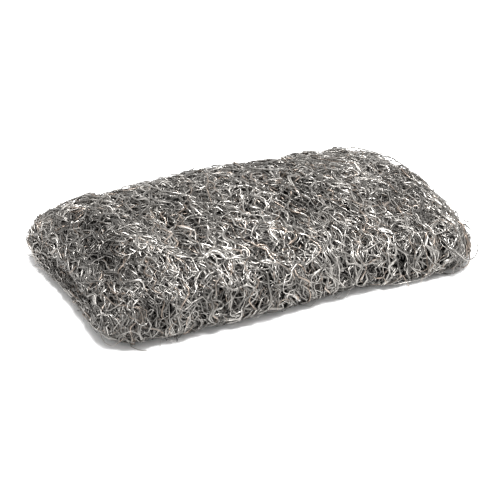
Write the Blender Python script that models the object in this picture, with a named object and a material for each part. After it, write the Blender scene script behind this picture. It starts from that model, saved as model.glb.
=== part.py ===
"""A hand pad of coarse steel wool: one long batt of steel fibres wound into a flat roll.

The pad lies on its pressed underside, with its length along X, its width along Y and its thickness
along Z. The batt is wound round the length, so its strands cross the top, go over the two long edges
and come back underneath, and its turns show as a spiral at both blunt ends. Curly locks of fibre
cross the strands and stand a little proud of them. All of it is one piece.
"""

import math
import random

import bmesh
import bpy
import numpy as np
from mathutils import Vector

# Outer form of the roll
PAD_LENGTH = 0.1065
PAD_WIDTH = 0.0602
PAD_THICKNESS = 0.0178  # in the middle, before strands and lumps
CROWN_DROP = 0.0028  # how much thinner the roll is at its ends than in its middle
RIGHT_THINNING = 0.13  # the share by which the right end is thinner, and the left end thicker
END_ROUNDING = 0.014  # how far a blunt end reaches in before the roll has its full section
PRESSED_BAND = 0.0007  # wool this close to the resting surface lies flat on it

# Superellipse exponents: 2 is a plain ellipse, and more is fuller at the corners
TOP_FULLNESS = 2.3
UNDERSIDE_FULLNESS = 3.4
END_FULLNESS = 2.5

# Strands wound round the roll
STRAND_PITCH = 0.0036
END_PITCH = 0.0030  # the same across the turns of the spiral at an end
STRAND_RISE = 0.0009  # half the height from the valley between two strands to a crest
STRAND_WANDER = 0.0026
LUMP_RISE = 0.0008
POINTS_PER_TURN = 44

# Locks of fibre across the strands
LOCK_COUNT = 18
LOCK_THICKNESS = 0.0019
LOCK_LENGTH = 0.034
LOCK_CURL = 0.0034
LOCK_CURL_WAVES = 1.3
LOCK_PROUD = 0.0010
LOCK_SINK = 0.0028
LOCK_SIDES = 5
LOCK_STEPS = 12

SEED = 9
STEEL_COLOUR = (0.27, 0.255, 0.24, 1.0)
STEEL_ROUGHNESS = 0.42
STEEL_METALLIC = 0.9
CREASE_ANGLE = math.radians(50)

# How much of an end's rounding the winding covers: the slot that is left is the first fold
WOUND_SHARE = 0.97


def clear_scene():
    """Removes the objects that a new file starts with."""
    for thing in list(bpy.data.objects):
        bpy.data.objects.remove(thing, do_unlink=True)


def steel_wool_material():
    """Bare grey steel fibre, dull where it is bundled."""
    material = bpy.data.materials.new("steel_wool")
    material.use_nodes = True
    shader = material.node_tree.nodes["Principled BSDF"]
    shader.inputs["Base Color"].default_value = STEEL_COLOUR
    shader.inputs["Roughness"].default_value = STEEL_ROUGHNESS
    shader.inputs["Metallic"].default_value = STEEL_METALLIC
    return material


def signed_power(value, exponent):
    return math.copysign(abs(value) ** exponent, value)


def smooth_step(value, start, stop):
    """0 before start, 1 after stop, and a soft rise between them."""
    share = min(max((value - start) / (stop - start), 0.0), 1.0)
    return share * share * (3 - 2 * share)


class Waves:
    """A smooth uneven field over the skin, in about -1 to 1, that meets itself after each turn."""

    def __init__(self, rng, count, most_around, most_along):
        self.terms = [
            (
                rng.randint(1, most_around),
                rng.uniform(-most_along, most_along) * math.tau / PAD_LENGTH,
                rng.uniform(0, math.tau),
            )
            for _ in range(count)
        ]
        self.scale = math.sqrt(2.0 / count) * 0.7

    def at(self, along, turn):
        """The field at a distance along the skin and a share of one turn round it."""
        total = sum(
            math.sin(around * turn * math.tau + per_metre * along + phase)
            for around, per_metre, phase in self.terms
        )
        return self.scale * total


def section_point(angle, half_width, half_height):
    """A point of the flattened roll's section: fuller underneath, where it is pressed flat."""
    fullness = TOP_FULLNESS if math.sin(angle) >= 0 else UNDERSIDE_FULLNESS
    across = half_width * signed_power(math.cos(angle), 2 / fullness)
    up = half_height * signed_power(math.sin(angle), 2 / fullness)
    return across, up


def quarter_point(angle, reach, height, fullness):
    """A point of a quarter superellipse, from its foot at angle 0 to its top at a right angle."""
    return (
        reach * math.sin(angle) ** (2 / fullness),
        height * math.cos(angle) ** (2 / fullness),
    )


class EvenSpacing:
    """Angles along a curve that are equal lengths apart, and the curve's length."""

    def __init__(self, curve, last_angle):
        self.angles = np.linspace(0.0, last_angle, 721)
        points = np.array([curve(angle) for angle in self.angles])
        steps = np.linalg.norm(np.diff(points, axis=0), axis=1)
        self.length = float(steps.sum())
        self.shares = np.concatenate([[0.0], np.cumsum(steps)]) / self.length

    def angle(self, share):
        return float(np.interp(share, self.shares, self.angles))


class Roll:
    """The pad's skin, as a function of the distance along it and the share of a turn round it."""

    def __init__(self):
        rng = random.Random(SEED)
        half_thickness = PAD_THICKNESS / 2
        self.girth = EvenSpacing(
            lambda angle: section_point(angle, PAD_WIDTH / 2, half_thickness), math.tau
        )
        self.end = EvenSpacing(
            lambda angle: quarter_point(angle, END_ROUNDING, half_thickness, END_FULLNESS),
            math.pi / 2 - 1e-6,
        )
        self.body_half = PAD_LENGTH / 2 - END_ROUNDING
        self.last_turn = self.body_half + WOUND_SHARE * self.end.length
        self.lumps = Waves(rng, 7, 3, 2.5)
        self.wander = Waves(rng, 14, 9, 3.0)
        self.rise = Waves(rng, 14, 9, 12.0)

    def bare(self, along, turn):
        """A point of the smooth skin, before strands and lumps."""
        over = max(abs(along) - self.body_half, 0.0) / self.end.length
        angle = self.end.angle(min(over, 1.0))
        reach, left = quarter_point(angle, END_ROUNDING, 1.0, END_FULLNESS)
        place = math.copysign(self.body_half + reach, along) if over else along
        outward = 2 * place / PAD_LENGTH
        crowned = PAD_THICKNESS - CROWN_DROP * outward**2
        thickness = crowned * (1 - RIGHT_THINNING * outward)
        half_width = PAD_WIDTH / 2 - (1 - left) * PAD_THICKNESS / 2
        across, up = section_point(
            self.girth.angle(turn % 1.0), half_width, thickness / 2 * left
        )
        return Vector((place, across, thickness / 2 + up))

    def outward(self, along, turn):
        """The direction that points out of the wool."""
        reach = STRAND_PITCH / 4
        along_step = self.bare(along + reach, turn) - self.bare(along - reach, turn)
        turn_step = self.bare(along, turn + 0.01) - self.bare(along, turn - 0.01)
        normal = turn_step.cross(along_step)
        return normal.normalized()

    def point(self, along, turn, lift):
        """A point at a height over the lumpy skin, and never under the resting surface."""
        normal = self.outward(along, turn)
        openness = smooth_step(normal.z, -0.97, -0.55)
        height = openness * (lift + LUMP_RISE * self.lumps.at(along, turn))
        place = self.bare(along, turn) + normal * height
        if place.z < PRESSED_BAND:
            place.z = 0.0
        return place

    def strand_point(self, along, turn, side):
        """A point on a strand's crest, where side is 1, or in the valley beside it, where it is -1."""
        end_fade = 1 - smooth_step(abs(along), self.body_half, self.last_turn)
        moved = along + end_fade * STRAND_WANDER * self.wander.at(along, turn)
        lift = side * STRAND_RISE * (0.75 + 0.55 * end_fade * self.rise.at(along, turn))
        return self.point(moved, turn, lift)

    def strand_columns(self):
        """How many crests and valleys the winding has, from one end's slot to the other's."""
        body = round(2 * self.body_half / (STRAND_PITCH / 2))
        end = round((self.last_turn - self.body_half) / (END_PITCH / 2))
        return body, end

    def column_place(self, column):
        """The distance along the skin of a column, which may be a part of a column."""
        body, end = self.strand_columns()
        end_length = self.last_turn - self.body_half
        stops = [0, end, end + body, end + body + end]
        places = [-self.last_turn, -self.body_half, self.body_half, self.body_half + end_length]
        return float(np.interp(column, stops, places))


def zip_closed(bm, loop):
    """Closes the slot at the middle of an end, from its fold inwards, top side to underside."""
    low, high = 0, len(loop) - 1
    while high - low >= 2:
        corners = [loop[low], loop[low + 1], loop[high - 1], loop[high]]
        bm.faces.new(dict.fromkeys(corners))
        low, high = low + 1, high - 1


def wound_roll(roll, material):
    """The roll as one winding strand: its crests and valleys are columns of a helix."""
    bm = bmesh.new()
    body, end = roll.strand_columns()
    last = body + 2 * end
    rows = []
    for column in range(last + 1):
        side = 1 if column % 2 else -1
        row = []
        for i in range(POINTS_PER_TURN if column <= last - 2 else 1):
            turn = i / POINTS_PER_TURN
            along = roll.column_place(column + 2 * turn)
            row.append(bm.verts.new(roll.strand_point(along, turn, side)))
        rows.append(row)

    def vertex(column, i):
        """The mesh meets itself two columns on after each turn."""
        return rows[column][i] if i < POINTS_PER_TURN else rows[column + 2][0]

    for column in range(last - 2):
        for i in range(POINTS_PER_TURN):
            bm.faces.new(
                (
                    vertex(column, i),
                    vertex(column + 1, i),
                    vertex(column + 1, i + 1),
                    vertex(column, i + 1),
                )
            )
    for column in (0, last - 2):
        slot = [vertex(column, i) for i in range(POINTS_PER_TURN + 1)]
        zip_closed(bm, [*slot, vertex(column + 1, 0)])
    return finished_object(bm, "wool_pad", material, bpy.context.scene.collection)


def finished_object(bm, name, material, collection):
    """Turns the built faces into a smooth shaded object, in triangles, which unite cleanly."""
    bmesh.ops.recalc_face_normals(bm, faces=bm.faces)
    bmesh.ops.triangulate(bm, faces=bm.faces)
    mesh = bpy.data.meshes.new(name)
    bm.to_mesh(mesh)
    bm.free()
    mesh.materials.append(material)
    mesh.shade_smooth()
    mesh.set_sharp_from_angle(angle=CREASE_ANGLE)
    thing = bpy.data.objects.new(name, mesh)
    collection.objects.link(thing)
    return thing


def lock_path(roll, rng):
    """A curly path that leaves the wool, crosses the strands and dips back in."""
    start_turn = rng.uniform(0.02, 0.48)
    start_along = rng.uniform(-0.86, 0.86) * roll.last_turn
    heading = rng.choice((-1, 1)) * rng.uniform(0.15, 0.75)
    phase = rng.uniform(0, math.tau)
    reach = rng.uniform(0.7, 1.25) * LOCK_LENGTH
    points = []
    for i in range(LOCK_STEPS + 1):
        share = i / LOCK_STEPS
        curl = LOCK_CURL * math.sin(share * LOCK_CURL_WAVES * math.tau + phase)
        forward = (share - 0.5) * reach
        along = start_along + math.sin(heading) * forward + math.cos(heading) * curl
        along = max(-roll.last_turn, min(roll.last_turn, along))
        turn = start_turn + (math.cos(heading) * forward - math.sin(heading) * curl) / roll.girth.length
        turn = max(-0.03, min(0.53, turn))
        arch = math.sin(math.pi * share) ** 0.6
        lift = LOCK_PROUD * arch - LOCK_SINK * (1 - arch)
        points.append(roll.point(along, turn, lift))
    return points


def lock_of_fibre(points, name, material, collection):
    """A tube with tapered, closed ends along the path."""
    bm = bmesh.new()
    rings = []
    side = Vector((0.0, 0.0, 1.0))
    for i, centre in enumerate(points):
        ahead = points[min(i + 1, len(points) - 1)] - points[max(i - 1, 0)]
        side = (side - ahead * (side.dot(ahead) / ahead.length_squared)).normalized()
        other = ahead.cross(side).normalized()
        share = i / (len(points) - 1)
        radius = LOCK_THICKNESS / 2 * (0.55 + 0.45 * math.sin(math.pi * share) ** 0.5)
        ring = []
        for k in range(LOCK_SIDES):
            angle = math.tau * k / LOCK_SIDES
            spoke = side * math.cos(angle) + other * math.sin(angle)
            ring.append(bm.verts.new(centre + spoke * radius))
        rings.append(ring)
    for first, second in zip(rings, rings[1:]):
        for k in range(LOCK_SIDES):
            after = (k + 1) % LOCK_SIDES
            bm.faces.new((first[k], first[after], second[after], second[k]))
    bm.faces.new(rings[0])
    bm.faces.new(rings[-1])
    lock = finished_object(bm, name, material, collection)
    lock.hide_render = True
    lock.display_type = "WIRE"
    return lock


def fuse(pad, locks):
    """Makes a collection of locks part of the pad."""
    union = pad.modifiers.new("fused_locks", "BOOLEAN")
    union.operation = "UNION"
    union.solver = "MANIFOLD"  # the exact solver loses the roll where a lock only grazes a strand
    union.operand_type = "COLLECTION"
    union.collection = locks


def centre_on_origin(things):
    """Puts the middle of the pad over the origin, without lifting it off the resting surface."""
    points = [vertex.co for thing in things for vertex in thing.data.vertices]
    for axis in (0, 1):
        values = [point[axis] for point in points]
        middle = (min(values) + max(values)) / 2
        for thing in things:
            for vertex in thing.data.vertices:
                vertex.co[axis] -= middle


def main():
    clear_scene()
    material = steel_wool_material()
    roll = Roll()
    pad = wound_roll(roll, material)
    rng = random.Random(SEED + 1)
    loose_locks = bpy.data.collections.new("locks_of_fibre")
    bpy.context.scene.collection.children.link(loose_locks)
    locks = [
        lock_of_fibre(lock_path(roll, rng), f"lock_{number:02d}", material, loose_locks)
        for number in range(1, LOCK_COUNT + 1)
    ]
    centre_on_origin([pad, *locks])
    fuse(pad, loose_locks)


main()
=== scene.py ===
"""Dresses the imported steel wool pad: a dull core wound with layers of curly steel fibre.

The core is the mass of the roll, sunk a few millimetres under the outermost wool. Each fibre layer
is one mesh of thin three-sided ribbons. They lie in bundles that run round the roll, wander, curl
and dip in and out of each other, as shaved steel does in a loose batt. The skin that they follow is
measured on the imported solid. All sizes are metres, in the frame's own axes.
"""

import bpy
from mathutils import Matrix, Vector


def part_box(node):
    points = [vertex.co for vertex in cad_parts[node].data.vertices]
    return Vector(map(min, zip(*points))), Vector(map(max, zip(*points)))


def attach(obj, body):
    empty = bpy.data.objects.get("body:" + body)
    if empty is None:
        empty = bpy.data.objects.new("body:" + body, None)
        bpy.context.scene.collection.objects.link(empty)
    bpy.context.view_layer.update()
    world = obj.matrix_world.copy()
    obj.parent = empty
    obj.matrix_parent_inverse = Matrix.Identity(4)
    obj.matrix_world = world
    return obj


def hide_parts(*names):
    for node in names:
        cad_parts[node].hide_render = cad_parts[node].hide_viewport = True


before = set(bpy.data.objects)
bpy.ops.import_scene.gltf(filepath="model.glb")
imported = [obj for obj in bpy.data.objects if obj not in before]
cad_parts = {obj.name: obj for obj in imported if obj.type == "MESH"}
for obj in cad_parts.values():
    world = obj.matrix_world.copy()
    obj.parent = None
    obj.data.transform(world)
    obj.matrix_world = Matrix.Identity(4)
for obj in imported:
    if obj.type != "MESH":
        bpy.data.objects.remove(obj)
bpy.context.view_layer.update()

import logging
import math
from collections.abc import Callable
from dataclasses import dataclass, field
from enum import Enum
from functools import partial

import bmesh
import bpy
import numpy as np
from mathutils import Vector
from mathutils.bvhtree import BVHTree

NODE = "wool_pad"
BODY = "root"
# Mesh attribute with the painted shade of each vertex: darker deep in the wool and in an end's
# hollow
PAINTED_SHADE_LAYER = "painted_shade_in_wool"
CHANCE_LAYER = "fibre_chance"

# Sockets of a colour Mix node, whose names are not unique
MIX_FACTOR, MIX_FIRST, MIX_SECOND, MIX_RESULT = 0, 6, 7, 2

# The least length that a vector is divided by
LEAST_LENGTH = 1e-12

# Where a ribbon's three edges stand round its middle line
EDGE_ANGLES = (math.pi / 2, math.pi * 7 / 6, math.pi * 11 / 6)

log = logging.getLogger("wool_pad")


def signed_power(value: np.ndarray, exponent: float) -> np.ndarray:
    """Raises the size of each value to a power and keeps its sign."""
    return np.sign(value) * np.abs(value) ** exponent


def unit(vectors: np.ndarray) -> np.ndarray:
    """Scales the vectors along the last axis to length one."""
    return vectors / np.maximum(np.linalg.norm(vectors, axis=-1, keepdims=True), LEAST_LENGTH)


def drifting(rng: np.random.Generator, count: int, steps: int, keep: float) -> np.ndarray:
    """Draws random values that change smoothly along each row.

    Args:
        rng: The source of chance.
        count: How many rows.
        steps: How many values in a row.
        keep: How much of a value the next one keeps, from 0 to 1.

    Returns:
        The rows, with a spread of about one.
    """
    values = rng.standard_normal((count, steps))
    for i in range(1, steps):
        values[:, i] = keep * values[:, i - 1] + math.sqrt(1 - keep**2) * values[:, i]
    return values


@dataclass(frozen=True)
class Span:
    """A range of values.

    Attributes:
        low: Where it starts.
        high: Where it ends.
    """

    low: float
    high: float

    def rise(self, values: np.ndarray) -> np.ndarray:
        """Maps values to shares that rise softly from 0 to 1 over the range."""
        share = np.clip((values - self.low) / (self.high - self.low), 0.0, 1.0)
        return share * share * (3 - 2 * share)

    def draw(self, rng: np.random.Generator, *shape: int) -> np.ndarray:
        """Draws an array of the given shape evenly from the range."""
        return rng.uniform(self.low, self.high, shape)


@dataclass(frozen=True)
class EvenCurve:
    """Angles along a plane curve, looked up by the share of its length.

    Attributes:
        angles: Sampled angles.
        shares: The share of the whole length reached at each angle.
        length: The curve's length.
    """

    angles: np.ndarray
    shares: np.ndarray
    length: float

    @classmethod
    def along(cls, curve: Callable, last_angle: float, samples: int = 1441) -> "EvenCurve":
        """Measures a curve.

        Args:
            curve: Takes an array of angles and returns the two coordinates.
            last_angle: The angle at the curve's end.
            samples: How many points are measured.

        Returns:
            The measured curve.
        """
        angles = np.linspace(0.0, last_angle, samples)
        points = np.stack(curve(angles), -1)
        steps = np.linalg.norm(np.diff(points, axis=0), axis=1)
        shares = np.concatenate([[0.0], np.cumsum(steps)])
        return cls(angles, shares / shares[-1], float(shares[-1]))

    def angle(self, share: np.ndarray) -> np.ndarray:
        """Looks up the angles at shares of the length, from 0 to 1."""
        return np.interp(share, self.shares, self.angles)


@dataclass(frozen=True)
class RollForm:
    """The flattened roll's form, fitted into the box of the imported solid.

    Attributes:
        length: End to end, over the blunt ends.
        width: Across the turns.
        thickness: From the surface that it lies on to the crown.
        crown_drop: How much thinner the ends are than the middle.
        right_thinning: The share by which the right end is thinner than the middle.
        end_rounding: How far an end reaches in before the section is full.
        top_fullness: Superellipse exponent of the section's upper half.
        underside_fullness: The same below, where the wool is pressed flat.
        end_fullness: The same for an end's rounding.
    """

    length: float
    width: float
    thickness: float
    crown_drop: float = 0.0028
    right_thinning: float = 0.13
    end_rounding: float = 0.014
    top_fullness: float = 2.3
    underside_fullness: float = 3.4
    end_fullness: float = 2.5

    def section(self, angle: np.ndarray, half_width: np.ndarray, half_height: np.ndarray) -> tuple:
        """Points of the roll's section.

        Args:
            angle: Angles round the section.
            half_width: Half its width.
            half_height: Half its height.

        Returns:
            Distances across and up from its middle.
        """
        fullness = np.where(np.sin(angle) >= 0, self.top_fullness, self.underside_fullness)
        across = half_width * signed_power(np.cos(angle), 2 / fullness)
        up = half_height * signed_power(np.sin(angle), 2 / fullness)
        return across, up

    def end_profile(self, angle: np.ndarray) -> tuple:
        """How far an end reaches out, and what share of the section is left there.

        Args:
            angle: Angles from 0, where the end begins, to a right angle at its tip.

        Returns:
            The reach and the share that is left.
        """
        power = 2 / self.end_fullness
        reach = self.end_rounding * np.clip(np.sin(angle), 0, 1) ** power
        return reach, np.clip(np.cos(angle), 0, 1) ** power


@dataclass(frozen=True)
class Guide:
    """Where the fibres' walk stands on the skin.

    Attributes:
        point: The nearest points of the skin.
        normal: The directions that point out of the wool there.
        winding: The directions that the batt is wound in there.
    """

    point: np.ndarray
    normal: np.ndarray
    winding: np.ndarray


@dataclass(eq=False)
class RollSkin:
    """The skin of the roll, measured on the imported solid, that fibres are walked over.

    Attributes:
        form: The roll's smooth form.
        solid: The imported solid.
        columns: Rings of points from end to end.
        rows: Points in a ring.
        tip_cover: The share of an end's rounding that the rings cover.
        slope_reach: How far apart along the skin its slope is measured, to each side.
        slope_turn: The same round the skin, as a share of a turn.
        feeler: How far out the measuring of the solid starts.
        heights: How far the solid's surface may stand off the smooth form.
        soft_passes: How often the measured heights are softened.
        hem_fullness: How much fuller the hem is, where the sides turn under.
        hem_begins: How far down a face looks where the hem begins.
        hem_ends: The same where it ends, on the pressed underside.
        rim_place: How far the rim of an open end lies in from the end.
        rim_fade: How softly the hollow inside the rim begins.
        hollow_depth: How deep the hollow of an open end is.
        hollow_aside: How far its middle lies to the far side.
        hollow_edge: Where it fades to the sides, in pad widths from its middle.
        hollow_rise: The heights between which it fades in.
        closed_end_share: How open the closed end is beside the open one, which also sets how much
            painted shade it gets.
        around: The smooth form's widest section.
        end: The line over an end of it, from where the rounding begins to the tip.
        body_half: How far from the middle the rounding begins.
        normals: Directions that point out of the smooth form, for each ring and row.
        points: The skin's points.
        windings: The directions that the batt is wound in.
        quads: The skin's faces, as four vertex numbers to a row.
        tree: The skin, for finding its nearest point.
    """

    form: RollForm
    solid: bpy.types.Object
    columns: int = 181
    rows: int = 132
    tip_cover: float = 0.995
    slope_reach: float = 0.0012
    slope_turn: float = 0.012
    feeler: float = 0.012
    heights: Span = Span(-0.0030, 0.0025)
    soft_passes: int = 2
    hem_fullness: float = 0.0017
    hem_begins: Span = Span(0.0, 0.5)
    hem_ends: Span = Span(0.9, 0.995)
    rim_place: float = 0.0185
    rim_fade: float = 0.007
    hollow_depth: float = 0.0010
    hollow_aside: float = -0.010
    hollow_edge: Span = Span(0.30, 0.48)
    hollow_rise: Span = Span(0.0, 0.005)
    closed_end_share: float = 0.3
    around: EvenCurve = field(init=False)
    end: EvenCurve = field(init=False)
    body_half: float = field(init=False)
    normals: np.ndarray = field(init=False)
    points: np.ndarray = field(init=False)
    windings: np.ndarray = field(init=False)
    quads: np.ndarray = field(init=False)
    tree: BVHTree = field(init=False)

    def __post_init__(self) -> None:
        """Builds the skin."""
        form = self.form
        half = form.thickness / 2
        self.around = EvenCurve.along(lambda a: form.section(a, form.width / 2, half), math.tau)
        self.end = EvenCurve.along(
            lambda a: (form.end_profile(a)[0], half * form.end_profile(a)[1]), math.pi / 2
        )
        self.body_half = form.length / 2 - form.end_rounding
        last = self.body_half + self.tip_cover * self.end.length
        along = np.linspace(-last, last, self.columns)[:, None]
        turn = np.arange(self.rows)[None, :] / self.rows
        self.normals = self.outward(along, turn)
        bare = self.bare(along, turn)
        height = self.soften(self.measured(bare) + self.added(bare))
        self.points = bare + self.normals * height[..., None]
        self.points[..., 2] = np.maximum(self.points[..., 2], 0.0)
        self.windings = unit(np.roll(self.points, -1, 1) - np.roll(self.points, 1, 1))
        self.quads = self.ring_quads()
        self.tree = BVHTree.FromPolygons(
            self.points.reshape(-1, 3).tolist(), self.quads.tolist(), all_triangles=False
        )

    def bare(self, along: np.ndarray, turn: np.ndarray) -> np.ndarray:
        """Points of the smooth form.

        Args:
            along: Distance along the skin from the middle of the pad.
            turn: Share of a turn, from the far long edge up over the top.

        Returns:
            An array of points with the last axis for x, y and z.
        """
        form = self.form
        along, turn = np.broadcast_arrays(along, turn)
        over = np.clip((np.abs(along) - self.body_half) / self.end.length, 0.0, 1.0)
        reach, left = form.end_profile(self.end.angle(over))
        place = np.where(over > 0, np.sign(along) * (self.body_half + reach), along)
        outward = 2 * place / form.length
        crowned = form.thickness - form.crown_drop * outward**2
        thickness = crowned * (1 - form.right_thinning * outward)
        half_width = form.width / 2 - (1 - left) * form.thickness / 2
        angle = self.around.angle(np.mod(turn, 1.0))
        across, up = form.section(angle, half_width, thickness / 2 * left)
        return np.stack([place, across, thickness / 2 + up], -1)

    def outward(self, along: np.ndarray, turn: np.ndarray) -> np.ndarray:
        """Directions that point out of the smooth form.

        Args:
            along: Distance along the skin.
            turn: Share of a turn.

        Returns:
            Unit vectors.
        """
        reach, share = self.slope_reach, self.slope_turn
        along_step = self.bare(along + reach, turn) - self.bare(along - reach, turn)
        turn_step = self.bare(along, turn + share) - self.bare(along, turn - share)
        return unit(np.cross(turn_step, along_step))

    def measured(self, bare: np.ndarray) -> np.ndarray:
        """Measures how high the solid's surface stands over the smooth form.

        Args:
            bare: Points of the smooth form.

        Returns:
            The heights.
        """
        mesh = bmesh.new()
        mesh.from_mesh(self.solid.data)
        mesh.transform(self.solid.matrix_world)
        tree = BVHTree.FromBMesh(mesh)
        mesh.free()
        starts = bare + self.normals * self.feeler
        height = np.zeros(bare.shape[:2])
        for index in np.ndindex(height.shape):
            hit = tree.ray_cast(Vector(starts[index]), Vector(-self.normals[index]))
            distance = hit[3]
            height[index] = self.feeler - distance if distance is not None else 0.0
        return np.clip(height, self.heights.low, self.heights.high)

    def added(self, bare: np.ndarray) -> np.ndarray:
        """What the wool adds: the hem sags onto its rest, and the open end is hollow.

        Args:
            bare: Points of the smooth form.

        Returns:
            The heights to add.
        """
        down = -self.normals[..., 2]
        hem = self.hem_begins.rise(down) * (1 - self.hem_ends.rise(down))
        return self.hem_fullness * hem - self.hollow_depth * self.open_end(bare)

    def soften(self, height: np.ndarray) -> np.ndarray:
        """Evens out heights between neighbours, round the roll and along it.

        Args:
            height: The heights.

        Returns:
            The softened heights.
        """
        for _ in range(self.soft_passes):
            height = (np.roll(height, 1, 1) + 2 * height + np.roll(height, -1, 1)) / 4
            padded = np.pad(height, ((1, 1), (0, 0)), mode="edge")
            height = (padded[:-2] + 2 * padded[1:-1] + padded[2:]) / 4
        return height

    def from_end(self, points: np.ndarray) -> np.ndarray:
        """How far points lie in from the nearer end of the roll."""
        return self.form.length / 2 - np.abs(points[..., 0])

    def openness(self, points: np.ndarray) -> np.ndarray:
        """How open the turns lie at the end nearer to points. The left end is wide open and gets
        the most painted shade.
        """
        return np.where(points[..., 0] < 0, 1.0, self.closed_end_share)

    def open_end(self, points: np.ndarray) -> np.ndarray:
        """How far points lie in the hollow of an end, between the turns, which is sunk and darkened
        with painted shade.

        Args:
            points: Points with the last axis for x, y and z.

        Returns:
            Shares from 0, outside it, to 1.
        """
        rim = Span(self.rim_place - self.rim_fade, self.rim_place)
        inside = 1 - rim.rise(self.from_end(points))
        across = np.abs(points[..., 1] - self.hollow_aside)
        aside = self.hollow_edge.rise(across / self.form.width)
        raised = self.hollow_rise.rise(points[..., 2])
        return inside * (1 - aside) * raised * self.openness(points)

    def ring_quads(self) -> np.ndarray:
        """The skin's faces between its rings.

        Returns:
            Vertex numbers, four to a row.
        """
        number = np.arange(self.columns * self.rows).reshape(self.columns, self.rows)
        after = np.roll(number, -1, axis=1)
        quads = np.stack([number[:-1], number[1:], after[1:], after[:-1]], -1)
        return quads.reshape(-1, 4)

    def cap_quads(self) -> np.ndarray:
        """Faces that close the first ring and the last, in rungs from side to side.

        Returns:
            Vertex numbers, four to a row.
        """
        first = np.arange(self.rows)
        last = first[::-1] + self.rows * (self.columns - 1)
        rungs = []
        for ring in (first, last):
            for low in range(self.rows // 2 - 1):
                high = self.rows - 1 - low
                rungs.append([ring[low], ring[low + 1], ring[high - 1], ring[high]])
        return np.array(rungs)

    def nearest(self, points: np.ndarray) -> Guide:
        """Finds the skin under points.

        Args:
            points: One row for each point.

        Returns:
            The skin's points and directions there.
        """
        find = self.tree.find_nearest
        found = [find(point) for point in points.tolist()]
        place = np.array([hit[0] for hit in found])
        corners = self.quads[[hit[2] for hit in found]]
        normal = unit(self.normals.reshape(-1, 3)[corners].sum(1))
        winding = self.windings.reshape(-1, 3)[corners].sum(1)
        winding -= normal * (winding * normal).sum(-1, keepdims=True)
        return Guide(place, normal, unit(winding))

    def scatter(self, count: int, density: Callable, rng: np.random.Generator) -> np.ndarray:
        """Draws points spread over the skin.

        Args:
            count: How many.
            density: Takes face centres and normals and returns how densely a face is covered.
            rng: The source of chance.

        Returns:
            The points.
        """
        corners = self.points.reshape(-1, 3)[self.quads]
        area = np.linalg.norm(
            np.cross(corners[:, 2] - corners[:, 0], corners[:, 3] - corners[:, 1]), axis=1
        )
        normal = unit(self.normals.reshape(-1, 3)[self.quads].sum(1))
        weight = area * density(corners.mean(1), normal)
        chosen = rng.choice(len(corners), count, p=weight / weight.sum())
        u, v = rng.uniform(0, 1, (2, count, 1))
        picked = corners[chosen]
        low = picked[:, 0] * (1 - u) + picked[:, 1] * u
        high = picked[:, 3] * (1 - u) + picked[:, 2] * u
        return low * (1 - v) + high * v


class NodeDraft:
    """Adds nodes to a tree, from left to right, with their values.

    Attributes:
        across: How far apart nodes stand in the node editor.
        down: How much lower the next one stands.
        rows: After how many nodes one stands at the top again.
    """

    across = 200
    down = 60
    rows = 4

    def __init__(self, tree: bpy.types.NodeTree) -> None:
        """Empties the tree.

        Args:
            tree: The tree to fill.
        """
        self.tree = tree
        self.column = 0
        tree.nodes.clear()

    def plug(self, socket: bpy.types.NodeSocket, value: object) -> None:
        """Gives an input its value.

        Args:
            socket: The input.
            value: A number, a colour, or an output to link.
        """
        if isinstance(value, bpy.types.NodeSocket):
            self.tree.links.new(value, socket)
        else:
            socket.default_value = value

    def add(self, kind: str, inputs: dict | None = None, **settings: object) -> bpy.types.Node:
        """Adds one node.

        Args:
            kind: The node's type name.
            inputs: Its inputs by name or number: a value, or an output to link.
            **settings: Its own properties.

        Returns:
            The node.
        """
        node = self.tree.nodes.new(kind)
        self.column += 1
        node.location = (self.across * self.column, -self.down * (self.column % self.rows))
        for name, value in settings.items():
            setattr(node, name, value)
        for name, value in (inputs or {}).items():
            self.plug(node.inputs[name], value)
        return node

    def math(self, operation: str, first: object, second: object = 0.0) -> bpy.types.NodeSocket:
        """Adds a Math node on numbers or outputs, and gives its output."""
        return self.add("ShaderNodeMath", {0: first, 1: second}, operation=operation).outputs[0]

    def mix(self, factor: object, first: object, second: object) -> bpy.types.NodeSocket:
        """Adds a Mix node from the first colour to the second, and gives its output."""
        inputs = {MIX_FACTOR: factor, MIX_FIRST: first, MIX_SECOND: second}
        return self.add("ShaderNodeMix", inputs, data_type="RGBA").outputs[MIX_RESULT]


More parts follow.
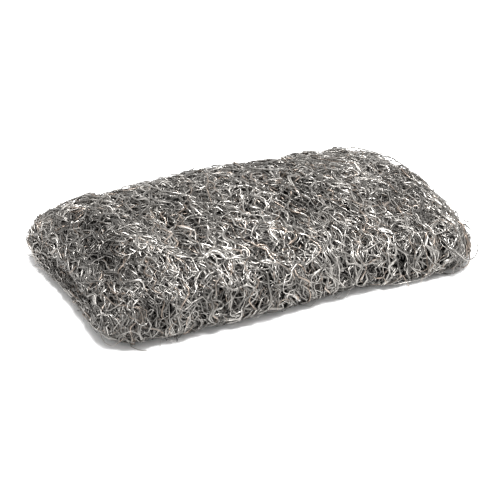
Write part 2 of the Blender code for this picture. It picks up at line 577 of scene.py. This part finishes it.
@dataclass(eq=False)
class SteelGroups:
    """The shader node groups that the steel finishes share, each built once.

    Attributes:
        light_rarity: The power of a fibre's chance that makes light fibres few.
        light_gain: How light the luckiest fibre is, from dark to light.
        patch_gain: How much the uneven patches lighten the wool.
        patch_detail: How rough the patches' edges are.
        bloom_cover: How much of a fibre's colour a brown bloom covers.
        bloom_draw: Turns a fibre's chance into another one, for the bloom.
        gloss_draw: The same, for the gloss.
        line_detail: How many finer lines lie in the drawn lines.
        line_roughness: How strong the finer lines are.
        tone: The group for colour and roughness.
        drawn_lines: The group for the height of the drawn lines.
    """

    light_rarity: float = 2.2
    light_gain: float = 0.85
    patch_gain: float = 0.3
    patch_detail: float = 3.0
    bloom_cover: float = 0.7
    bloom_draw: float = 61.7
    gloss_draw: float = 23.3
    line_detail: float = 4.0
    line_roughness: float = 0.7
    tone: bpy.types.NodeTree = field(init=False)
    drawn_lines: bpy.types.NodeTree = field(init=False)

    def __post_init__(self) -> None:
        """Builds the groups."""
        self.tone = self.build_tone()
        self.drawn_lines = self.build_drawn_lines()

    @staticmethod
    def new_group(name: str, inputs: dict, outputs: dict) -> tuple:
        """Starts a group with named sockets.

        Args:
            name: The group's name.
            inputs: Socket types by input name.
            outputs: Socket types by output name.

        Returns:
            The draft, the input node and the output node.
        """
        group = bpy.data.node_groups.new(name, "ShaderNodeTree")
        for title, kind in inputs.items():
            group.interface.new_socket(title, in_out="INPUT", socket_type=kind)
        for title, kind in outputs.items():
            group.interface.new_socket(title, in_out="OUTPUT", socket_type=kind)
        draft = NodeDraft(group)
        return draft, draft.add("NodeGroupInput"), draft.add("NodeGroupOutput")

    def build_tone(self) -> bpy.types.NodeTree:
        """Builds the colour and roughness that change from fibre to fibre, with painted shade that
        darkens the colour with depth in the wool.

        Returns:
            The group.
        """
        draft, given, result = self.new_group(
            "steel_tone",
            {
                "Fibre Chance": "NodeSocketFloat",
                "Depth": "NodeSocketFloat",
                "Dark": "NodeSocketColor",
                "Light": "NodeSocketColor",
                "Warm": "NodeSocketColor",
                "Painted Shade Colour": "NodeSocketColor",
                "Warm Share": "NodeSocketFloat",
                "Patch Scale": "NodeSocketFloat",
                "Least Roughness": "NodeSocketFloat",
                "Most Roughness": "NodeSocketFloat",
            },
            {"Color": "NodeSocketColor", "Roughness": "NodeSocketFloat"},
        )
        value = given.outputs
        place = draft.add("ShaderNodeTexCoord").outputs["Object"]
        noise = {"Vector": place, "Scale": value["Patch Scale"], "Detail": self.patch_detail}
        patch = draft.add("ShaderNodeTexNoise", noise).outputs[0]
        chance = value["Fibre Chance"]
        for_bloom = draft.math("FRACT", draft.math("MULTIPLY", chance, self.bloom_draw))
        for_gloss = draft.math("FRACT", draft.math("MULTIPLY", chance, self.gloss_draw))
        rare = draft.math("POWER", chance, self.light_rarity)
        few_light = draft.math("MULTIPLY", rare, self.light_gain)
        patches = draft.math("MULTIPLY", patch, self.patch_gain)
        steel = draft.mix(draft.math("ADD", few_light, patches), value["Dark"], value["Light"])
        is_warm = draft.math("LESS_THAN", for_bloom, value["Warm Share"])
        bloom = draft.math("MULTIPLY", is_warm, self.bloom_cover)
        steel = draft.mix(bloom, steel, value["Warm"])
        # Painted shade: mixes the steel toward the painted shade colour deep in the wool and in an
        # end's hollow
        draft.plug(result.inputs["Color"], draft.mix(value["Depth"], steel, value["Painted Shade Colour"]))
        spread = draft.math("SUBTRACT", value["Most Roughness"], value["Least Roughness"])
        more = draft.math("MULTIPLY", spread, for_gloss)
        gloss = draft.math("ADD", value["Least Roughness"], more)
        draft.plug(result.inputs["Roughness"], gloss)
        return draft.tree

    def build_drawn_lines(self) -> bpy.types.NodeTree:
        """Builds the height of the fine chatter marks that shaving leaves on the fibre.

        Returns:
            The group.
        """
        draft, given, result = self.new_group(
            "drawn_lines", {"Scale": "NodeSocketFloat"}, {"Height": "NodeSocketFloat"}
        )
        noise = {
            "Vector": draft.add("ShaderNodeTexCoord").outputs["Object"],
            "Scale": given.outputs["Scale"],
            "Detail": self.line_detail,
            "Roughness": self.line_roughness,
        }
        fine = draft.add("ShaderNodeTexNoise", noise)
        draft.plug(result.inputs["Height"], fine.outputs[0])
        return draft.tree


@dataclass(frozen=True)
class SteelFinish:
    """A finish of bare steel wool.

    Attributes:
        name: The material's name.
        dark: The darkest fibres' colour.
        light: The lightest fibres' colour.
        warm: The colour of the few fibres with a brown bloom.
        deep: The painted shade colour that the steel is darkened to far down between the fibres.
        warm_share: How many fibres have a bloom.
        patch_scale: How fine the uneven patches are, in cycles a metre.
        least_roughness: The glossiest fibres' roughness.
        most_roughness: The dullest fibres' roughness.
        metallic: How metallic the surface is.
        bump: How strong the drawn lines along the fibre are.
        line_scale: How fine the drawn lines are, in cycles a metre.
        line_height: How high they stand.
    """

    name: str
    dark: tuple = (0.040, 0.037, 0.034, 1.0)
    light: tuple = (0.72, 0.69, 0.65, 1.0)
    warm: tuple = (0.34, 0.27, 0.22, 1.0)
    # Painted shade colour for the wool deep between the fibres
    deep: tuple = (0.008, 0.007, 0.007, 1.0)
    warm_share: float = 0.09
    patch_scale: float = 90.0
    least_roughness: float = 0.20
    most_roughness: float = 0.48
    metallic: float = 0.9
    bump: float = 0.25
    line_scale: float = 2600.0
    line_height: float = 0.0001

    def material(self, groups: SteelGroups) -> bpy.types.Material:
        """Builds the material.

        Args:
            groups: The shared node groups.

        Returns:
            The material.
        """
        made = bpy.data.materials.new(self.name)
        made.use_nodes = True
        draft = NodeDraft(made.node_tree)
        chance = draft.add("ShaderNodeAttribute", attribute_name=CHANCE_LAYER)
        # Reads the painted shade that each vertex carries
        depth = draft.add("ShaderNodeAttribute", attribute_name=PAINTED_SHADE_LAYER)
        steel = draft.add(
            "ShaderNodeGroup",
            {
                "Fibre Chance": chance.outputs["Fac"],
                "Depth": depth.outputs["Fac"],
                "Dark": self.dark,
                "Light": self.light,
                "Warm": self.warm,
                "Painted Shade Colour": self.deep,
                "Warm Share": self.warm_share,
                "Patch Scale": self.patch_scale,
                "Least Roughness": self.least_roughness,
                "Most Roughness": self.most_roughness,
            },
            node_tree=groups.tone,
        )
        scale = {"Scale": self.line_scale}
        lines = draft.add("ShaderNodeGroup", scale, node_tree=groups.drawn_lines)
        bump = draft.add(
            "ShaderNodeBump",
            {
                "Height": lines.outputs["Height"],
                "Strength": self.bump,
                "Distance": self.line_height,
            },
        )
        shader = draft.add(
            "ShaderNodeBsdfPrincipled",
            {
                "Base Color": steel.outputs["Color"],
                "Roughness": steel.outputs["Roughness"],
                "Normal": bump.outputs["Normal"],
                "Metallic": self.metallic,
            },
        )
        draft.add("ShaderNodeOutputMaterial", {"Surface": shader.outputs[0]})
        return made


@dataclass
class Faces:
    """A mesh in arrays.

    Attributes:
        points: Vertex positions, one row each.
        quads: Vertex numbers, four to a row. A row whose last two are the same is a triangle.
        depth: How much painted shade each vertex gets, from 0 outside to 1, mostly by how deep in
            the wool it lies.
        chance: A random share from 0 to 1 that each fibre keeps all along.
    """

    points: np.ndarray
    quads: np.ndarray
    depth: np.ndarray
    chance: np.ndarray

    def thing(self, name: str, material: bpy.types.Material) -> bpy.types.Object:
        """Makes a mesh object.

        Args:
            name: The object's name.
            material: Its material.

        Returns:
            The object, linked to the scene.
        """
        three = self.quads[:, 2] == self.quads[:, 3]
        sizes = np.where(three, 3, 4)
        keep = np.ones(self.quads.shape, bool)
        keep[three, 3] = False
        corners = self.quads[keep]
        mesh = bpy.data.meshes.new(name)
        mesh.vertices.add(len(self.points))
        mesh.vertices.foreach_set("co", self.points.astype(np.float32).ravel())
        mesh.loops.add(len(corners))
        mesh.loops.foreach_set("vertex_index", corners.astype(np.int32))
        mesh.polygons.add(len(self.quads))
        starts = np.concatenate([[0], np.cumsum(sizes)[:-1]])
        mesh.polygons.foreach_set("loop_start", starts.astype(np.int32))
        mesh.update(calc_edges=True)
        for title, values in ((PAINTED_SHADE_LAYER, self.depth), (CHANCE_LAYER, self.chance)):
            layer = mesh.attributes.new(title, "FLOAT", "POINT")
            layer.data.foreach_set("value", values.astype(np.float32).ravel())
        mesh.materials.append(material)
        made = bpy.data.objects.new(name, mesh)
        bpy.context.scene.collection.objects.link(made)
        return made


def triangle_count(thing: bpy.types.Object) -> int:
    """Counts the triangles that a mesh object's faces make."""
    return sum(len(face.vertices) - 2 for face in thing.data.polygons)


@dataclass(frozen=True)
class WoolCore:
    """The mass of the roll, under the fibres.

    Attributes:
        depth: How far it is sunk under the skin.
        lump: How uneven its surface is.
        off_rest: How far its underside stays off the surface that the pad lies on.
        shade: How much painted shade darkens it on average, as wool deep under the fibres.
        tone: Its average lightness, as a fibre's chance.
        unevenness: How much both change from clump to clump.
        fill: How full the wool is, from slack to tight. Not used.
    """

    depth: float = 0.0024
    lump: float = 0.0005
    off_rest: float = 0.0004
    shade: float = 0.5
    tone: float = 0.4
    unevenness: float = 0.3
    fill: float = 0.55

    def build(
        self, skin: RollSkin, rng: np.random.Generator, material: bpy.types.Material
    ) -> bpy.types.Object:
        """Builds the core.

        Args:
            skin: The roll's skin.
            rng: The source of chance.
            material: Its material.

        Returns:
            The core object.
        """
        clumps = rng.standard_normal(skin.points.shape[:2])
        height = -self.depth + self.lump * clumps
        points = skin.points + skin.normals * height[..., None]
        points[..., 2] = np.maximum(points[..., 2], self.off_rest)
        quads = np.concatenate([skin.quads, skin.cap_quads()])
        # Painted shade for the core, less where its clumps rise
        depth = np.clip(self.shade - self.unevenness * clumps, 0, 1)
        chance = np.clip(self.tone + self.unevenness * clumps, 0, 1)
        core = Faces(points.reshape(-1, 3), quads, depth, chance).thing("wool_core", material)
        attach(core, BODY)
        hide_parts(NODE)
        return core


class Side(Enum):
    """Which part of the roll a layer's fibres start on."""

    ALL_ROUND = "all_round"
    OPEN_TO_VIEW = "open_to_view"
    ENDS = "ends"
    RIMS = "rims"
    BACK_AND_RIGHT = "back_and_right"


@dataclass(frozen=True)
class Cover:
    """How densely fibres start over the faces of the roll.

    The ranges say how far a face looks down, out of an end, and so on, from 0 to 1.

    Attributes:
        pressed: Down, where a face comes to lie on the pressed underside.
        end_facing: Out of an end.
        back_facing: To the back.
        right_facing: Out of the right end.
        right_top: Up, for the right end.
        over_hem: Up, for the back and the right end.
        right_weight: How much denser loose fibres are at the right end than at the back.
        elsewhere: How dense they are on the other sides.
        rim_width: How wide a band the fibres of a rim start in.
        sparser_ends: How much sparser end fibres are on the underside.
        sparser_round: The same for those all round.
        sparser_view: The same for those on the sides open to view.
    """

    pressed: Span = Span(0.84, 0.97)
    end_facing: Span = Span(0.3, 0.5)
    back_facing: Span = Span(0.35, 0.6)
    right_facing: Span = Span(0.25, 0.5)
    right_top: Span = Span(0.1, 0.4)
    over_hem: Span = Span(-0.2, 0.1)
    right_weight: float = 2.0
    elsewhere: float = 0.02
    rim_width: float = 0.0032
    sparser_ends: float = 0.6
    sparser_round: float = 0.55
    sparser_view: float = 0.88

    def density(
        self, side: Side, skin: RollSkin, centres: np.ndarray, normals: np.ndarray
    ) -> np.ndarray:
        """How densely the fibres of one side start.

        Args:
            side: The side that they start on.
            skin: The roll's skin.
            centres: Face centres.
            normals: Face normals.

        Returns:
            The densities, of which only the ratios count.
        """
        along, across, up = normals[:, 0], normals[:, 1], normals[:, 2]
        under = self.pressed.rise(-up)
        if side is Side.ENDS:
            return self.end_facing.rise(np.abs(along)) * (1 - self.sparser_ends * under)
        if side is Side.RIMS:
            from_rim = skin.from_end(centres) - skin.rim_place
            band = np.exp(-((from_rim / self.rim_width) ** 2))
            return band * (1 - under) * skin.openness(centres)
        if side is Side.BACK_AND_RIGHT:
            right = self.right_facing.rise(along) * self.right_top.rise(up)
            most = np.maximum(self.back_facing.rise(across), self.right_weight * right)
            return most * self.over_hem.rise(up) + self.elsewhere
        if side is Side.OPEN_TO_VIEW:
            return 1 - self.sparser_view * under
        return 1 - self.sparser_round * under


@dataclass(frozen=True)
class FibreHabit:
    """What the fibres of all layers have in common.

    Attributes:
        lengths: How long fibres are, in their layer's mean lengths.
        widths: How wide they are, in their layer's widths.
        wave_counts: How many waves they have, in their layer's mean number.
        wave_swings: How far their waves swing, in their layer's crimp.
        slip_reach: How far along a fibre its drift from the bundle keeps.
        weave_reach: How far along it a dip keeps.
        headroom: How far it may rise over its layer's ceiling.
        end_sink: How deep its ends tuck in.
        end_climb: How fast it comes up from its ends, in rises a length.
        loft_power: How much the loft gathers in the fibre's middle.
        loft_rarity: The power of chance that makes fibres with a high loft few.
        taper: How fast it comes to its full width, in widths a length.
        tip_width: How wide its tips are, as a share.
        twist_keep: How much of a turn of its twist the next step keeps.
        twist_step: How far it twists in a step, in radians.
        lit_heights: From how deep down to how high up its painted shade fades out, to full
            lightness.
    """

    lengths: Span = Span(0.6, 1.4)
    widths: Span = Span(0.55, 1.35)
    wave_counts: Span = Span(0.75, 1.25)
    wave_swings: Span = Span(0.4, 1.3)
    slip_reach: float = 0.006
    weave_reach: float = 0.002
    headroom: float = 0.0004
    end_sink: float = 0.0007
    end_climb: float = 5.0
    loft_power: float = 1.5
    loft_rarity: int = 2
    taper: float = 6.0
    tip_width: float = 0.3
    twist_keep: float = 0.8
    twist_step: float = 0.25
    lit_heights: Span = Span(-0.0016, 0.0003)


@dataclass(frozen=True)
class FibreLayer:
    """One layer of curly fibres laid over the skin.

    Attributes:
        name: The piece's name.
        bundles: How many bundles of fibre.
        bundle: How many fibres in a bundle.
        length: A fibre's mean length.
        width: Its width.
        heights: How high over the skin its middle line starts.
        spread: How far its run turns from the winding direction, in radians.
        curl: How tightly it curls, in radians a metre.
        curl_reach: How far a curl keeps its bend.
        steer: How strongly it comes back to the winding direction, in radians a metre.
        weave: How far it dips and rises.
        loft: How high its middle springs up.
        side_slip: How far the fibres of a bundle part.
        crimp: How far a bundle's waves swing to each side.
        crimp_length: The length of one wave.
        steps: Segments in a fibre.
        side: Where the fibres start.
        stray: The share of bundles that run any way at all.
        flat: The ribbon's thickness as a share of its width.
        own_tone: How much a fibre's tone differs from its bundle's, from 0 to 1.
        least_chance: Where the fibres' chance begins. A higher one gives lighter fibres.
        end_shade: How much painted shade darkens the wool where the roll's ends open between the
            turns.
        cover: How densely the fibres start.
        habit: What they have in common with other layers.
    """

    name: str
    bundles: int
    bundle: int
    length: float
    width: float
    heights: Span
    spread: float = 0.30
    curl: float = 90.0
    curl_reach: float = 0.0040
    steer: float = 170.0
    weave: float = 0.0009
    loft: float = 0.0
    side_slip: float = 0.0003
    crimp: float = 0.0012
    crimp_length: float = 0.0070
    steps: int = 15
    side: Side = Side.ALL_ROUND
    stray: float = 0.04
    flat: float = 0.55
    own_tone: float = 0.45
    least_chance: float = 0.0
    end_shade: float = 0.40
    cover: Cover = Cover()
    habit: FibreHabit = FibreHabit()

    def keep(self, reach: float) -> float:
        """How much of a drift one step keeps, where it lasts for a reach."""
        return math.exp(-self.length / self.steps / reach)

    def walk(self, skin: RollSkin, rng: np.random.Generator) -> tuple:
        """Walks each bundle over the skin.

        Args:
            skin: The roll's skin.
            rng: The source of chance.

        Returns:
            Points and outward directions, one row for each bundle.
        """
        stride = self.length * self.habit.lengths.draw(rng, self.bundles, 1) / self.steps
        density = partial(self.cover.density, self.side, skin)
        here = skin.nearest(skin.scatter(self.bundles, density, rng))
        heading = rng.normal(0, self.spread, self.bundles)
        heading += math.pi * rng.integers(0, 2, self.bundles)
        free = rng.uniform(0, 1, self.bundles) < self.stray
        heading = np.where(free, rng.uniform(0, math.tau, self.bundles), heading)[:, None]
        ahead = here.winding * np.cos(heading)
        ahead += np.cross(here.normal, here.winding) * np.sin(heading)
        bend = self.curl * drifting(rng, self.bundles, self.steps, self.keep(self.curl_reach))
        steer = np.where(free, 0.0, self.steer)[:, None] * stride
        track = [here]
        for i in range(self.steps):
            turned = bend[:, i : i + 1] * stride
            ahead = ahead * np.cos(turned) + np.cross(here.normal, ahead) * np.sin(turned)
            way = np.sign((ahead * here.winding).sum(-1, keepdims=True))
            ahead = unit(ahead + steer * way * here.winding)
            here = skin.nearest(here.point + ahead * stride)
            ahead = unit(ahead - here.normal * (ahead * here.normal).sum(-1, keepdims=True))
            track.append(here)
        points = np.stack([step.point for step in track], 1)
        return points, np.stack([step.normal for step in track], 1)

    def waves(self, share: np.ndarray, rng: np.random.Generator) -> np.ndarray:
        """Waves the fibres from side to side, those of a bundle in step.

        Args:
            share: The way along a fibre, from 0 to 1, in one row.
            rng: The source of chance.

        Returns:
            How far each fibre stands aside, one row for each.
        """
        mean_count = self.length / self.crimp_length
        count = mean_count * self.habit.wave_counts.draw(rng, self.bundles, 1)
        start = rng.uniform(0, math.tau, (self.bundles, 1))
        swing = self.crimp * self.habit.wave_swings.draw(rng, self.bundles, 1)
        wave = swing * np.sin(start + math.tau * count * share)
        return np.repeat(wave, self.bundle, axis=0)

    def lift(self, share: np.ndarray, rng: np.random.Generator) -> np.ndarray:
        """How high the fibres lie over the skin: their start, dips, loft and tucked ends.

        Args:
            share: The way along a fibre, from 0 to 1, in one row.
            rng: The source of chance.

        Returns:
            The heights, one row for each fibre.
        """
        habit = self.habit
        count, stations = self.bundles * self.bundle, share.size
        spring = np.sin(math.pi * share) ** habit.loft_power
        spring = spring * rng.uniform(0, 1, (count, 1)) ** habit.loft_rarity
        dips = drifting(rng, count, stations, self.keep(habit.weave_reach))
        dips[:, 1:-1] = (dips[:, :-2] + 2 * dips[:, 1:-1] + dips[:, 2:]) / 4
        start = np.repeat(self.heights.draw(rng, self.bundles, 1), self.bundle, axis=0)
        climb = np.minimum(1, habit.end_climb * np.minimum(share, 1 - share))
        height = start + self.weave * dips + self.loft * spring - habit.end_sink * (1 - climb)
        return np.minimum(height, self.heights.high + habit.headroom + self.loft)

    def paths(self, skin: RollSkin, rng: np.random.Generator) -> tuple:
        """Lays out every fibre's middle line.

        Args:
            skin: The roll's skin.
            rng: The source of chance.

        Returns:
            Points, outward directions, and heights over the skin.
        """
        point, normal = self.walk(skin, rng)
        point = np.repeat(point, self.bundle, axis=0)
        normal = np.repeat(normal, self.bundle, axis=0)
        normal[:, 1:-1] = normal[:, :-2] + normal[:, 1:-1] + normal[:, 2:]
        normal = unit(normal)
        count, stations = point.shape[:2]
        share = np.linspace(0, 1, stations)[None, :]
        aside = unit(np.cross(normal, np.gradient(point, axis=1)))
        slip = self.side_slip * drifting(rng, count, stations, self.keep(self.habit.slip_reach))
        slip += self.waves(share, rng)
        height = self.lift(share, rng)
        point = point + aside * slip[..., None] + normal * height[..., None]
        point[..., 2] = np.maximum(point[..., 2], self.width / 2)
        return point, normal, height

    def edges(
        self, points: np.ndarray, normal: np.ndarray, rng: np.random.Generator
    ) -> np.ndarray:
        """Sets three edges round each middle line, which twist as they go.

        Args:
            points: The middle lines.
            normal: Their outward directions.
            rng: The source of chance.

        Returns:
            The edges' points, with the third axis for the edge.
        """
        habit = self.habit
        count, stations = points.shape[:2]
        ahead = unit(np.gradient(points, axis=1))
        aside = unit(np.cross(ahead, normal))
        over = np.cross(aside, ahead)
        start = rng.uniform(0, math.tau, (count, 1))
        turns = drifting(rng, count, stations, habit.twist_keep) * habit.twist_step
        twist = start + np.cumsum(turns, axis=1)
        cos, sin = np.cos(twist)[..., None], np.sin(twist)[..., None]
        broad = aside * cos + over * sin
        thin = over * cos - aside * sin
        share = np.linspace(0, 1, stations)
        taper = np.clip(np.minimum(share, 1 - share) * habit.taper + habit.tip_width, 0, 1)
        half = self.width / 2 * habit.widths.draw(rng, count, 1) * taper[None, :]
        corners = []
        for angle in EDGE_ANGLES:
            outward = broad * math.cos(angle) + thin * (self.flat * math.sin(angle))
            corners.append(points + outward * half[..., None])
        corners = np.stack(corners, 2)
        corners[..., 2] = np.maximum(corners[..., 2], 0.0)
        return corners

    def ribbons(self, skin: RollSkin, rng: np.random.Generator) -> Faces:
        """Builds closed three-sided ribbons.

        Args:
            skin: The roll's skin.
            rng: The source of chance.

        Returns:
            The mesh.
        """
        points, normal, height = self.paths(skin, rng)
        count, stations = points.shape[:2]
        corners = self.edges(points, normal, rng)
        number = np.arange(corners[..., 0].size).reshape(corners.shape[:3])
        after = np.roll(number, -1, axis=2)
        sides = np.stack([number[:, :-1], number[:, 1:], after[:, 1:], after[:, :-1]], -1)
        tips = (number[:, 0][:, [0, 1, 2, 2]], number[:, -1][:, [2, 1, 0, 0]])
        # Painted shade: fibres deep in the wool and in an end's hollow are darkened in colour
        shade = self.end_shade * skin.open_end(points)
        depth = 1 - self.habit.lit_heights.rise(height) * (1 - shade)
        chances = Span(self.least_chance, 1)
        chance = np.repeat(chances.draw(rng, self.bundles), self.bundle)
        chance += self.own_tone * (chances.draw(rng, count) - chance)
        return Faces(
            corners.reshape(-1, 3),
            np.concatenate([sides.reshape(-1, 4), *tips]),
            np.repeat(depth, len(EDGE_ANGLES)),
            np.repeat(chance, len(EDGE_ANGLES) * stations),
        )

    def build(
        self, skin: RollSkin, rng: np.random.Generator, material: bpy.types.Material
    ) -> bpy.types.Object:
        """Builds the layer as one piece.

        Args:
            skin: The roll's skin.
            rng: The source of chance.
            material: Its material.

        Returns:
            The layer's object.
        """
        layer = self.ribbons(skin, rng).thing(self.name, material)
        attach(layer, BODY)
        return layer


def fibre_layers() -> tuple:
    """Lists the layers of fibre that the pad is made of.

    Returns:
        The layers, from the inside out.
    """
    return (
        FibreLayer(
            name="inner_fibres", bundles=320, bundle=3, length=0.024, width=0.00066,
            heights=Span(-0.0026, -0.0016),
        ),
        FibreLayer(
            name="middle_fibres", bundles=600, bundle=3, length=0.021, width=0.00066,
            heights=Span(-0.0020, -0.0008),
        ),
        FibreLayer(
            name="outer_fibres", bundles=560, bundle=3, length=0.020, width=0.00068,
            heights=Span(-0.0009, 0.0003),
            side=Side.OPEN_TO_VIEW,
        ),
        FibreLayer(
            name="crossing_fibres", bundles=440, bundle=3, length=0.018, width=0.00060,
            heights=Span(-0.0007, 0.0004),
            spread=0.4, curl=150.0, steer=120.0, side=Side.OPEN_TO_VIEW, stray=0.08,
        ),
        FibreLayer(
            name="end_fibres", bundles=360, bundle=3, length=0.022, width=0.00050,
            heights=Span(-0.0012, 0.0003),
            spread=0.2, curl=110.0, steer=200.0, side=Side.ENDS,
        ),
        FibreLayer(
            name="rim_fibres", bundles=56, bundle=3, length=0.026, width=0.00050,
            heights=Span(-0.0003, 0.0006),
            spread=0.22, curl=120.0, steer=190.0, steps=20, side=Side.RIMS, stray=0.0,
            # Lighter tones: painted highlight along the lit rim of the open end
            least_chance=0.12,
        ),
        FibreLayer(
            name="loose_loops", bundles=60, bundle=2, length=0.036, width=0.00044,
            heights=Span(-0.0003, 0.0004),
            spread=0.3, curl=60.0, curl_reach=0.012, steer=60.0, weave=0.0004, crimp=0.0003,
            loft=0.0034, side_slip=0.0007, steps=26, side=Side.BACK_AND_RIGHT, stray=0.1,
        ),
        FibreLayer(
            name="fine_fibres", bundles=1500, bundle=1, length=0.018, width=0.00024,
            heights=Span(-0.0006, 0.0005),
            spread=0.5, curl=200.0, steer=90.0, side=Side.OPEN_TO_VIEW, stray=0.25,
        ),
        FibreLayer(
            name="stray_wisps", bundles=300, bundle=1, length=0.018, width=0.00020,
            heights=Span(-0.0002, 0.0004),
            spread=0.9, curl=260.0, curl_reach=0.009, loft=0.0034, steps=20,
            side=Side.OPEN_TO_VIEW, stray=0.4,
        ),
    )


@dataclass(frozen=True)
class WoolPad:
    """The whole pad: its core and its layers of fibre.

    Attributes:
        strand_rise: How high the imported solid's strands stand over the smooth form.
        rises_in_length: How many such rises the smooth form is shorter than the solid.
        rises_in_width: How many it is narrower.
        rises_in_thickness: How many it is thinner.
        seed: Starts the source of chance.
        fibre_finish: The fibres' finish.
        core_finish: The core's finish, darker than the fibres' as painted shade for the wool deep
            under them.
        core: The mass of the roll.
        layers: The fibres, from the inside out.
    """

    strand_rise: float = 0.0013
    rises_in_length: float = 1.2
    rises_in_width: float = 2.4
    rises_in_thickness: float = 1.6
    seed: int = 11
    fibre_finish: SteelFinish = SteelFinish("bare_steel_fibre")
    # Colours darker than the fibres': painted shade for the wool deep under them
    core_finish: SteelFinish = SteelFinish(
        "matted_steel_with_painted_shade",
        dark=(0.10, 0.094, 0.088, 1.0),
        light=(0.30, 0.28, 0.26, 1.0),
        patch_scale=420.0,
        least_roughness=0.5,
        most_roughness=0.6,
        metallic=0.7,
        bump=0.9,
        line_scale=900.0,
    )
    core: WoolCore = WoolCore()
    layers: tuple = field(default_factory=fibre_layers)

    def form(self) -> RollForm:
        """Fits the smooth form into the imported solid's box.

        Returns:
            The form.
        """
        low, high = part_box(NODE)
        size = high - low
        return RollForm(
            size.x - self.rises_in_length * self.strand_rise,
            size.y - self.rises_in_width * self.strand_rise,
            size.z - self.rises_in_thickness * self.strand_rise,
        )

    def build(self) -> list[bpy.types.Object]:
        """Builds every piece.

        Returns:
            The pieces, from the inside out.
        """
        rng = np.random.default_rng(self.seed)
        skin = RollSkin(self.form(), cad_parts[NODE])
        groups = SteelGroups()
        fibre = self.fibre_finish.material(groups)
        mass = self.core_finish.material(groups)
        core = self.core.build(skin, rng, mass)
        return [core, *(layer.build(skin, rng, fibre) for layer in self.layers)]


@dataclass(frozen=True)
class SoftLight:
    """A large soft lamp.

    Attributes:
        name: The lamp's name.
        place: Where it stands.
        size: The length of its square's side.
        power: Its power in watts.
    """

    name: str
    place: tuple
    size: float
    power: float

    def build(self, target: Vector) -> None:
        """Sets up the lamp.

        Args:
            target: What it points at.
        """
        lamp = bpy.data.lights.new(self.name, "AREA")
        lamp.size = self.size
        lamp.energy = self.power
        thing = bpy.data.objects.new(self.name, lamp)
        thing.location = self.place
        thing.rotation_euler = (target - thing.location).to_track_quat("-Z", "Y").to_euler()
        bpy.context.scene.collection.objects.link(thing)


@dataclass(frozen=True)
class Studio:
    """The pale floor, the soft light and the camera at the photograph's viewing angle.

    Attributes:
        elevation: How high the camera looks down from, in degrees.
        turn: How far the pad's length is turned away from the picture's width, in degrees.
        distance: From the camera to the pad.
        photo_scale: Picture points to a metre of pad, as in the photograph.
        closer: How much closer the frame is than the photograph's.
        aim_drop: How far the frame's middle is below the pad's, seen in the picture.
        frame_side: The picture's side in points.
        sensor_width: The width of the camera's sensor, in millimetres.
        floor_side: The floor's side.
        floor_colour: The floor's colour.
        floor_roughness: The floor's roughness.
        sky_colour: The colour of the surroundings.
        sky: How bright the surroundings are.
        key_light: The lamp over the pad.
    """

    elevation: float = 30.0
    turn: float = 25.5
    distance: float = 0.70
    photo_scale: float = 1627.0
    closer: float = 2.3
    aim_drop: float = 0.0065
    frame_side: float = 500.0
    sensor_width: float = 36.0
    floor_side: float = 6.0
    floor_colour: tuple = (0.95, 0.95, 0.95, 1.0)
    floor_roughness: float = 0.9
    sky_colour: tuple = (1.0, 1.0, 1.0, 1.0)
    sky: float = 1.0
    key_light: SoftLight = SoftLight("key_light", place=(-0.04, -0.12, 0.80), size=0.35, power=15.5)

    def build(self, target: Vector) -> None:
        """Sets up the studio.

        Args:
            target: The middle of the pad.
        """
        self.build_floor()
        self.build_world()
        self.key_light.build(target)
        self.build_camera(target)
        bpy.context.scene.view_settings.view_transform = "Standard"

    def build_floor(self) -> None:
        """Lays the floor."""
        half = self.floor_side / 2
        corners = np.array([[-half, -half, 0], [half, -half, 0], [half, half, 0], [-half, half, 0]])
        material = bpy.data.materials.new("studio_floor")
        material.use_nodes = True
        shader = material.node_tree.nodes["Principled BSDF"]
        shader.inputs["Base Color"].default_value = self.floor_colour
        shader.inputs["Roughness"].default_value = self.floor_roughness
        flat = Faces(corners, np.array([[0, 1, 2, 3]]), np.zeros(4), np.zeros(4))
        floor = flat.thing("studio_floor", material)

    def build_world(self) -> None:
        """Surrounds the pad with plain white light."""
        world = bpy.data.worlds.new("studio")
        world.use_nodes = True
        background = world.node_tree.nodes["Background"]
        background.inputs["Color"].default_value = self.sky_colour
        background.inputs["Strength"].default_value = self.sky
        bpy.context.scene.world = world

    def build_camera(self, target: Vector) -> None:
        """Places the camera at the photograph's viewing angle.

        Args:
            target: What it looks at.
        """
        camera = bpy.data.cameras.new("photo_camera")
        camera.sensor_width = self.sensor_width
        points_for_a_metre = self.photo_scale * self.closer
        camera.lens = camera.sensor_width * points_for_a_metre * self.distance / self.frame_side
        up, turned = math.radians(self.elevation), math.radians(self.turn)
        back = Vector(
            (-math.sin(turned) * math.cos(up), -math.cos(turned) * math.cos(up), math.sin(up))
        )
        thing = bpy.data.objects.new("photo_camera", camera)
        looking = (-back).to_track_quat("-Z", "Y")
        thing.location = target + back * self.distance - looking @ Vector((0, self.aim_drop, 0))
        thing.rotation_euler = looking.to_euler()
        bpy.context.scene.collection.objects.link(thing)
        bpy.context.scene.camera = thing


def main() -> None:
    """Builds the pad and the studio and reports each piece's triangles."""
    logging.basicConfig(level=logging.INFO, format="%(message)s")
    low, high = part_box(NODE)
    for piece in WoolPad().build():
        log.info("%s: %d triangles", piece.name, triangle_count(piece))
    Studio().build((low + high) / 2)
    bpy.context.view_layer.update()


if __name__ == "__main__":
    main()
